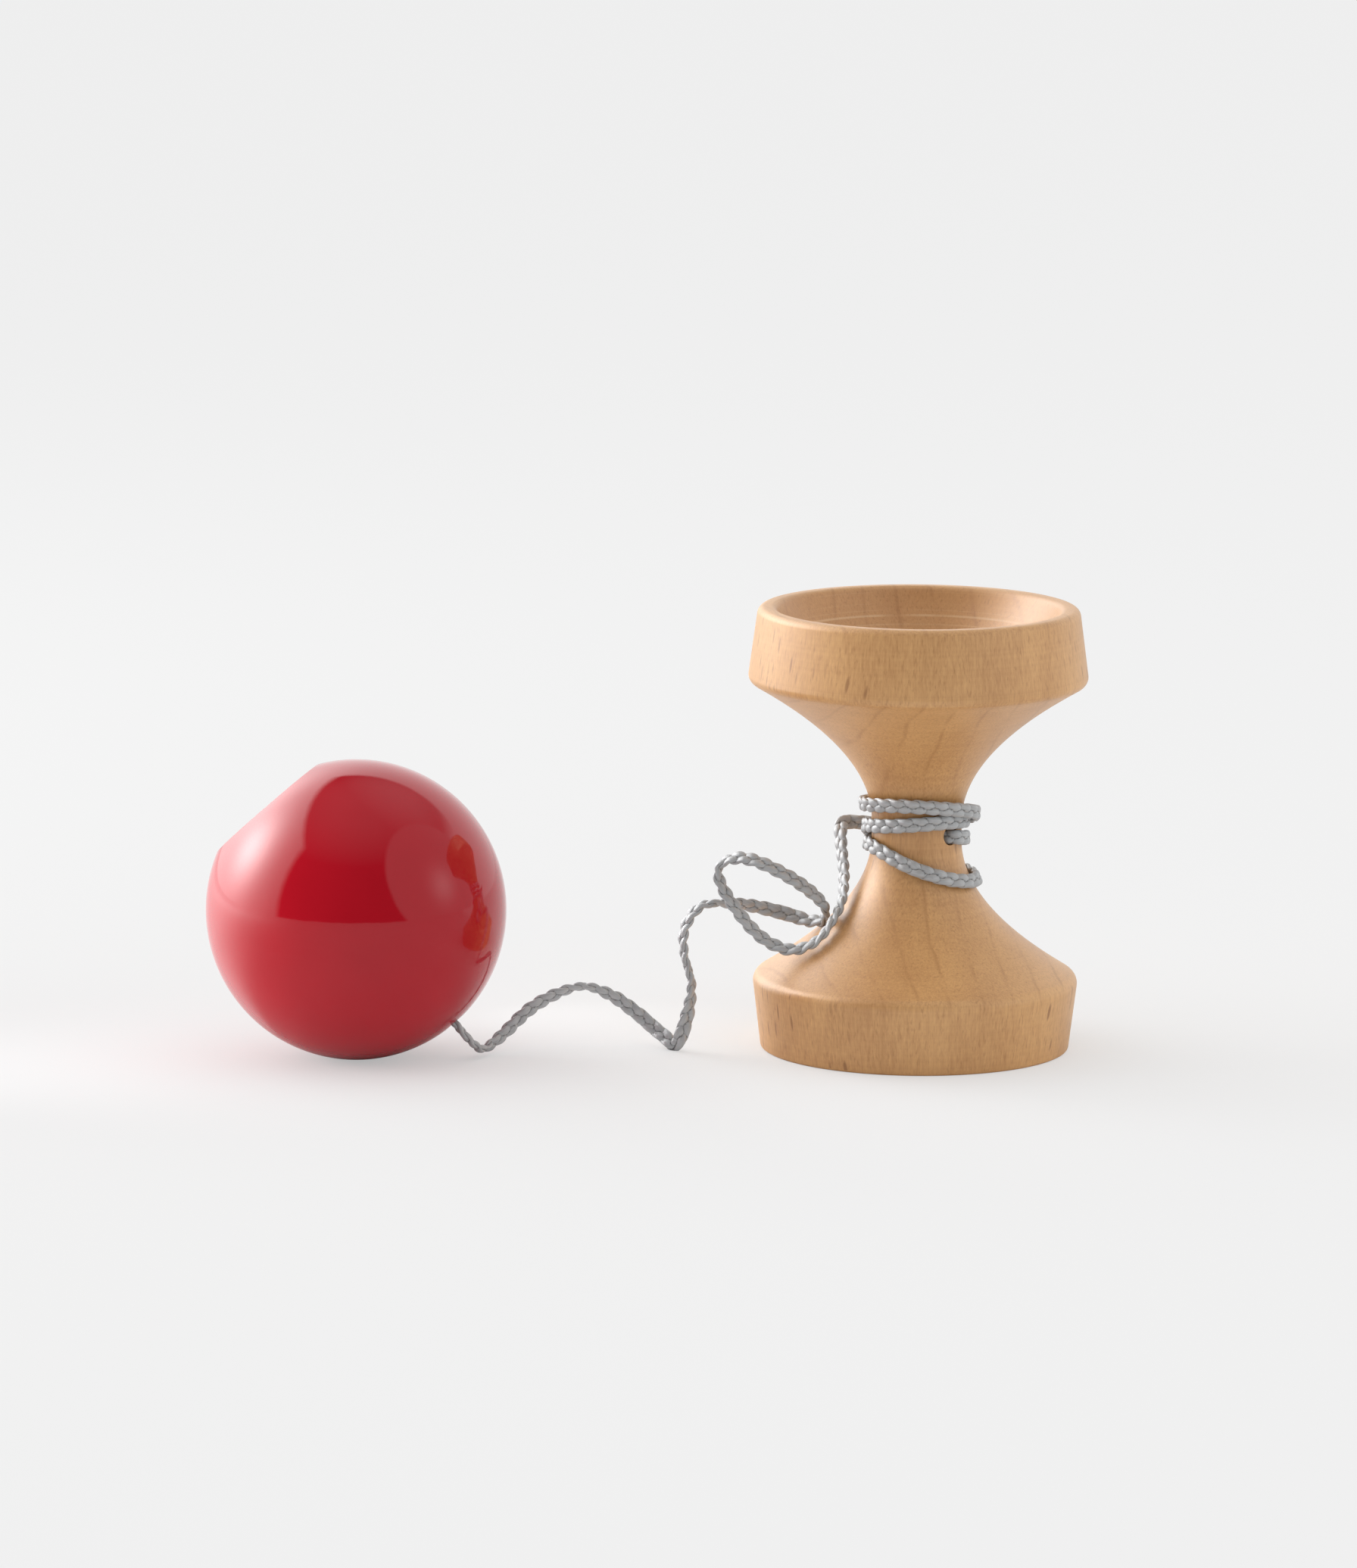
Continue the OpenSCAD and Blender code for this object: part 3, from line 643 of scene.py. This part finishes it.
def paleFloor():
    material, tree = newMaterial("pale studio floor")
    ray = addNode(tree, "ShaderNodeLightPath", {}).outputs
    place = addNode(tree, "ShaderNodeTexCoord", {}).outputs["Object"]
    away = addNode(tree, "ShaderNodeVectorMath", {"operation": "SUBTRACT", 0: place, 1: table["glowFrom"]})
    reach = addNode(tree, "ShaderNodeVectorMath", {"operation": "LENGTH", 0: away})
    near = addNode(tree, "ShaderNodeMath", {
        "operation": "MINIMUM", 0: reach.outputs["Value"], 1: table["glowReach"]})
    growth = addNode(tree, "ShaderNodeMath", {"operation": "SQRT", 0: near})
    way = addNode(tree, "ShaderNodeVectorMath", {"operation": "NORMALIZE", 0: away})
    aim = addNode(tree, "ShaderNodeVectorMath", {"operation": "DOT_PRODUCT", 0: way, 1: table["glowWay"]})
    ahead = addNode(tree, "ShaderNodeMath", {"operation": "MAXIMUM", 0: aim.outputs["Value"], 1: 0.0})
    lobe = addNode(tree, "ShaderNodeMath", {"operation": "POWER", 0: ahead, 1: table["glowNarrow"]})
    left = addNode(tree, "ShaderNodeMath", {"operation": "MULTIPLY", 0: lobe, 1: growth})
    leftLevel = addNode(tree, "ShaderNodeMath", {"operation": "MULTIPLY", 0: left, 1: table["glow"]})
    farther = addNode(tree, "ShaderNodeSeparateXYZ", {"Vector": place}).outputs["Y"]
    back = addNode(tree, "ShaderNodeMapRange", {
        "Value": farther, "From Min": -0.02, "From Max": 0.06, "To Max": table["backGlow"]})
    both = addNode(tree, "ShaderNodeMath", {"operation": "ADD", 0: leftLevel, 1: back})
    inGloss = addNode(tree, "ShaderNodeMath", {"operation": "MULTIPLY", 0: both, 1: ray["Is Glossy Ray"]})
    # painted light: the left glow also shines a little into the matt light of the objects
    inMatt = addNode(tree, "ShaderNodeMath", {
        "operation": "MULTIPLY", 0: leftLevel, 1: ray["Is Diffuse Ray"]})
    glowLevel = addNode(tree, "ShaderNodeMath", {
        "operation": "MULTIPLY_ADD", 0: inMatt, 1: table["glowMatt"], 2: inGloss})
    # the camera sees a share of plain pale surface, so that the shadow stays faint
    direct = addNode(tree, "ShaderNodeMath", {
        "operation": "ADD", 0: ray["Is Camera Ray"], 1: ray["Is Transmission Ray"]})
    share = addNode(tree, "ShaderNodeMath", {"operation": "MULTIPLY", 0: direct, 1: table["seenShare"]})
    # in the gloss of the object the table takes the darker mirrored colour: painted shade in its reflections
    colour = addNode(tree, "ShaderNodeMix", {
        "data_type": "RGBA", 0: ray["Is Glossy Ray"], 6: hexColour(table["colour"]),
        7: hexColour(table["mirrored"])})
    matt = addNode(tree, "ShaderNodeBsdfDiffuse", {"Color": colour.outputs[2]})
    seen = addNode(tree, "ShaderNodeEmission", {"Strength": table["seen"]})
    glow = addNode(tree, "ShaderNodeEmission", {"Strength": glowLevel})
    base = addNode(tree, "ShaderNodeMixShader", {0: share, 1: matt, 2: seen})
    skin = addNode(tree, "ShaderNodeAddShader", {0: base, 1: glow})
    addNode(tree, "ShaderNodeOutputMaterial", {"Surface": skin})
    bm = bmesh.new()
    bmesh.ops.create_grid(bm, x_segments=1, y_segments=1, size=table["half"])
    return meshObject("floor", bm, material)


floorPiece = paleFloor()

# Room: a white tent with a big soft lamp on the left, a round reflector on the right and a dark gap round the
# camera. The gloss mirrors all of that, and the matt colour gets an evened version of it. A glow is its
# direction, how narrow it is and its level, below 0 where the tent is dimmer; an edge is a direction and the
# two cosines between which it fades in
tent = {"wall": 0.9, "backWall": 1.2, "even": 0.82, "horizon": 0.879, "opening": (0.03, 0.5),
        "openingRight": 0.45, "discEdge": ((0.866, -0.287, 0.408), 0.775, 0.8), "discLevel": 0.7,
        "ways": {"up": (0, 0, 1), "back": (0, 0.7, 0.7), "right": (0.6, 0.5, 0.6)},
        "glows": {"mirrored": [((-0.846, 0.283, 0.452), 24, 8.6), ((-0.83, 0.322, 0.456), 3.9, 3.8),
                               ((-0.5, 0.717, 0.485), 25, 1.8), ((-0.93, 0.35, 0.1), 10, 0.6),
                               ((0.93, 0.34, 0.1), 6, 0.3)],
                  "disc": [((0.93, -0.21, 0.31), 60, 0.9)],
                  "soft": [((-0.83, 0.322, 0.456), 4, 0.3), ((0.86, -0.48, 0.17), 2, 0.62),
                           ((0, 0.2, 0.98), 3, 0.24), ((-0.75, 0.65, 0.1), 6, 0.8),
                           ((0, -1, 0.15), 2, -0.6)]},
        "gaps": [[((0.47, -0.883, 0), -0.03, 0.06), ((-0.342, -0.94, 0), -0.03, 0.05)],
                 [((1, -0.375, 0.61), -0.03, 0.05), ((0, -1, 1.05), -0.03, 0.05), ((0, 0, 1), 0.5, 0.62)]]}


def tentLight():
    room = bpy.data.worlds.new("room")
    room.use_nodes = True
    tree = room.node_tree
    tree.nodes.clear()
    look = addNode(tree, "ShaderNodeTexCoord", {}).outputs["Generated"]
    aims = {}
    for name, way in tent["ways"].items():
        aim = addNode(tree, "ShaderNodeVectorMath", {"operation": "DOT_PRODUCT", 0: look, 1: way})
        aims[name] = aim.outputs["Value"]
    walls = addNode(tree, "ShaderNodeMapRange", {
        "Value": aims["back"], "From Min": 0.3, "From Max": 1.0,
        "To Min": tent["wall"], "To Max": tent["backWall"]})
    levels = {"mirrored": walls, "disc": tent["discLevel"], "soft": tent["even"]}
    for name, glows in tent["glows"].items():
        for way, narrow, level in glows:
            aim = addNode(tree, "ShaderNodeVectorMath", {"operation": "DOT_PRODUCT", 0: look, 1: way})
            ahead = addNode(tree, "ShaderNodeMath", {"operation": "MAXIMUM", 0: aim.outputs["Value"], 1: 0.0})
            lobe = addNode(tree, "ShaderNodeMath", {"operation": "POWER", 0: ahead, 1: narrow})
            levels[name] = addNode(tree, "ShaderNodeMath", {
                "operation": "MULTIPLY_ADD", 0: lobe, 1: level, 2: levels[name]})
    # dark gap round the camera and above it, and the reflector: each is where all of its edges have faded in
    insides = []
    for edges in tent["gaps"] + [[tent["discEdge"]]]:
        inside = 1.0
        for way, low, high in edges:
            aim = addNode(tree, "ShaderNodeVectorMath", {"operation": "DOT_PRODUCT", 0: look, 1: way})
            edge = addNode(tree, "ShaderNodeMapRange", {
                "Value": aim.outputs["Value"], "From Min": low, "From Max": high})
            inside = addNode(tree, "ShaderNodeMath", {"operation": "MULTIPLY", 0: edge, 1: inside})
        insides.append(inside)
    front, above, disc = insides
    gap = addNode(tree, "ShaderNodeMath", {"operation": "MAXIMUM", 0: front, 1: above})
    # the gap is darkest low down and paler overhead and on the right
    overhead = addNode(tree, "ShaderNodeMapRange", {
        "Value": aims["up"], "From Min": 0.68, "From Max": 0.98,
        "To Min": tent["opening"][0], "To Max": tent["opening"][1]})
    right = addNode(tree, "ShaderNodeMapRange", {
        "Value": aims["right"], "From Min": 0.7, "From Max": 0.95, "To Max": tent["openingRight"]})
    opening = addNode(tree, "ShaderNodeMath", {"operation": "ADD", 0: overhead, 1: right})
    shown = addNode(tree, "ShaderNodeMix", {"data_type": "FLOAT", 0: gap, 2: levels["mirrored"], 3: opening})
    mirrored = addNode(tree, "ShaderNodeMix", {"data_type": "FLOAT", 0: disc, 2: shown, 3: levels["disc"]})
    ray = addNode(tree, "ShaderNodeLightPath", {}).outputs
    lit = addNode(tree, "ShaderNodeMix", {
        "data_type": "FLOAT", 0: ray["Is Glossy Ray"], 2: levels["soft"], 3: mirrored})
    strength = addNode(tree, "ShaderNodeMix", {
        "data_type": "FLOAT", 0: ray["Is Camera Ray"], 2: lit, 3: tent["horizon"]})
    sky = addNode(tree, "ShaderNodeBackground", {"Color": (1, 1, 1, 1), "Strength": strength})
    addNode(tree, "ShaderNodeOutputWorld", {"Surface": sky})
    # only traced rays tell gloss from matt, so the room isn't sampled as a lamp
    room.cycles.sampling_method = "NONE"
    return room


scene.world = tentLight()

# Lights that the gloss and the camera don't see: the big soft lamp on the left, and two small white cards
# that throw light back onto the shaded left of the ball and of the foot. Places and widths are in metres
lampAim, lampWay, lampAway = Vector((-0.06, -0.008, 0.04)), Vector((-0.78, 0.42, 0.46)), 0.85
lights = {"softLamp": {"place": lampAim + lampWay.normalized() * lampAway, "target": lampAim,
                       "wide": 0.8, "watts": 1.2, "spreadDeg": 180},
          "ballCard": {"place": Vector((-0.24, -0.04, 0.052)), "target": Vector(ballCentre * mm),
                       "wide": 0.08, "watts": 0.019, "spreadDeg": 60},
          "footCard": {"place": Vector((-0.085, 0.035, 0.035)), "target": Vector((-0.033, -0.006, 0.014)),
                       "wide": 0.06, "watts": 0.006, "spreadDeg": 60}}
for name, light in lights.items():
    lampData = bpy.data.lights.new(name, "AREA")
    lampData.shape, lampData.size, lampData.energy = "DISK", light["wide"], light["watts"]
    lampData.spread = math.radians(light["spreadDeg"])
    lamp = bpy.data.objects.new(name, lampData)
    scene.collection.objects.link(lamp)
    lamp.location = light["place"]
    lamp.rotation_euler = (light["place"] - light["target"]).to_track_quat("Z", "Y").to_euler()
    lamp.visible_glossy = False
    lamp.visible_camera = False
scene.view_settings.view_transform = "Standard"
print("floor, room and light set")
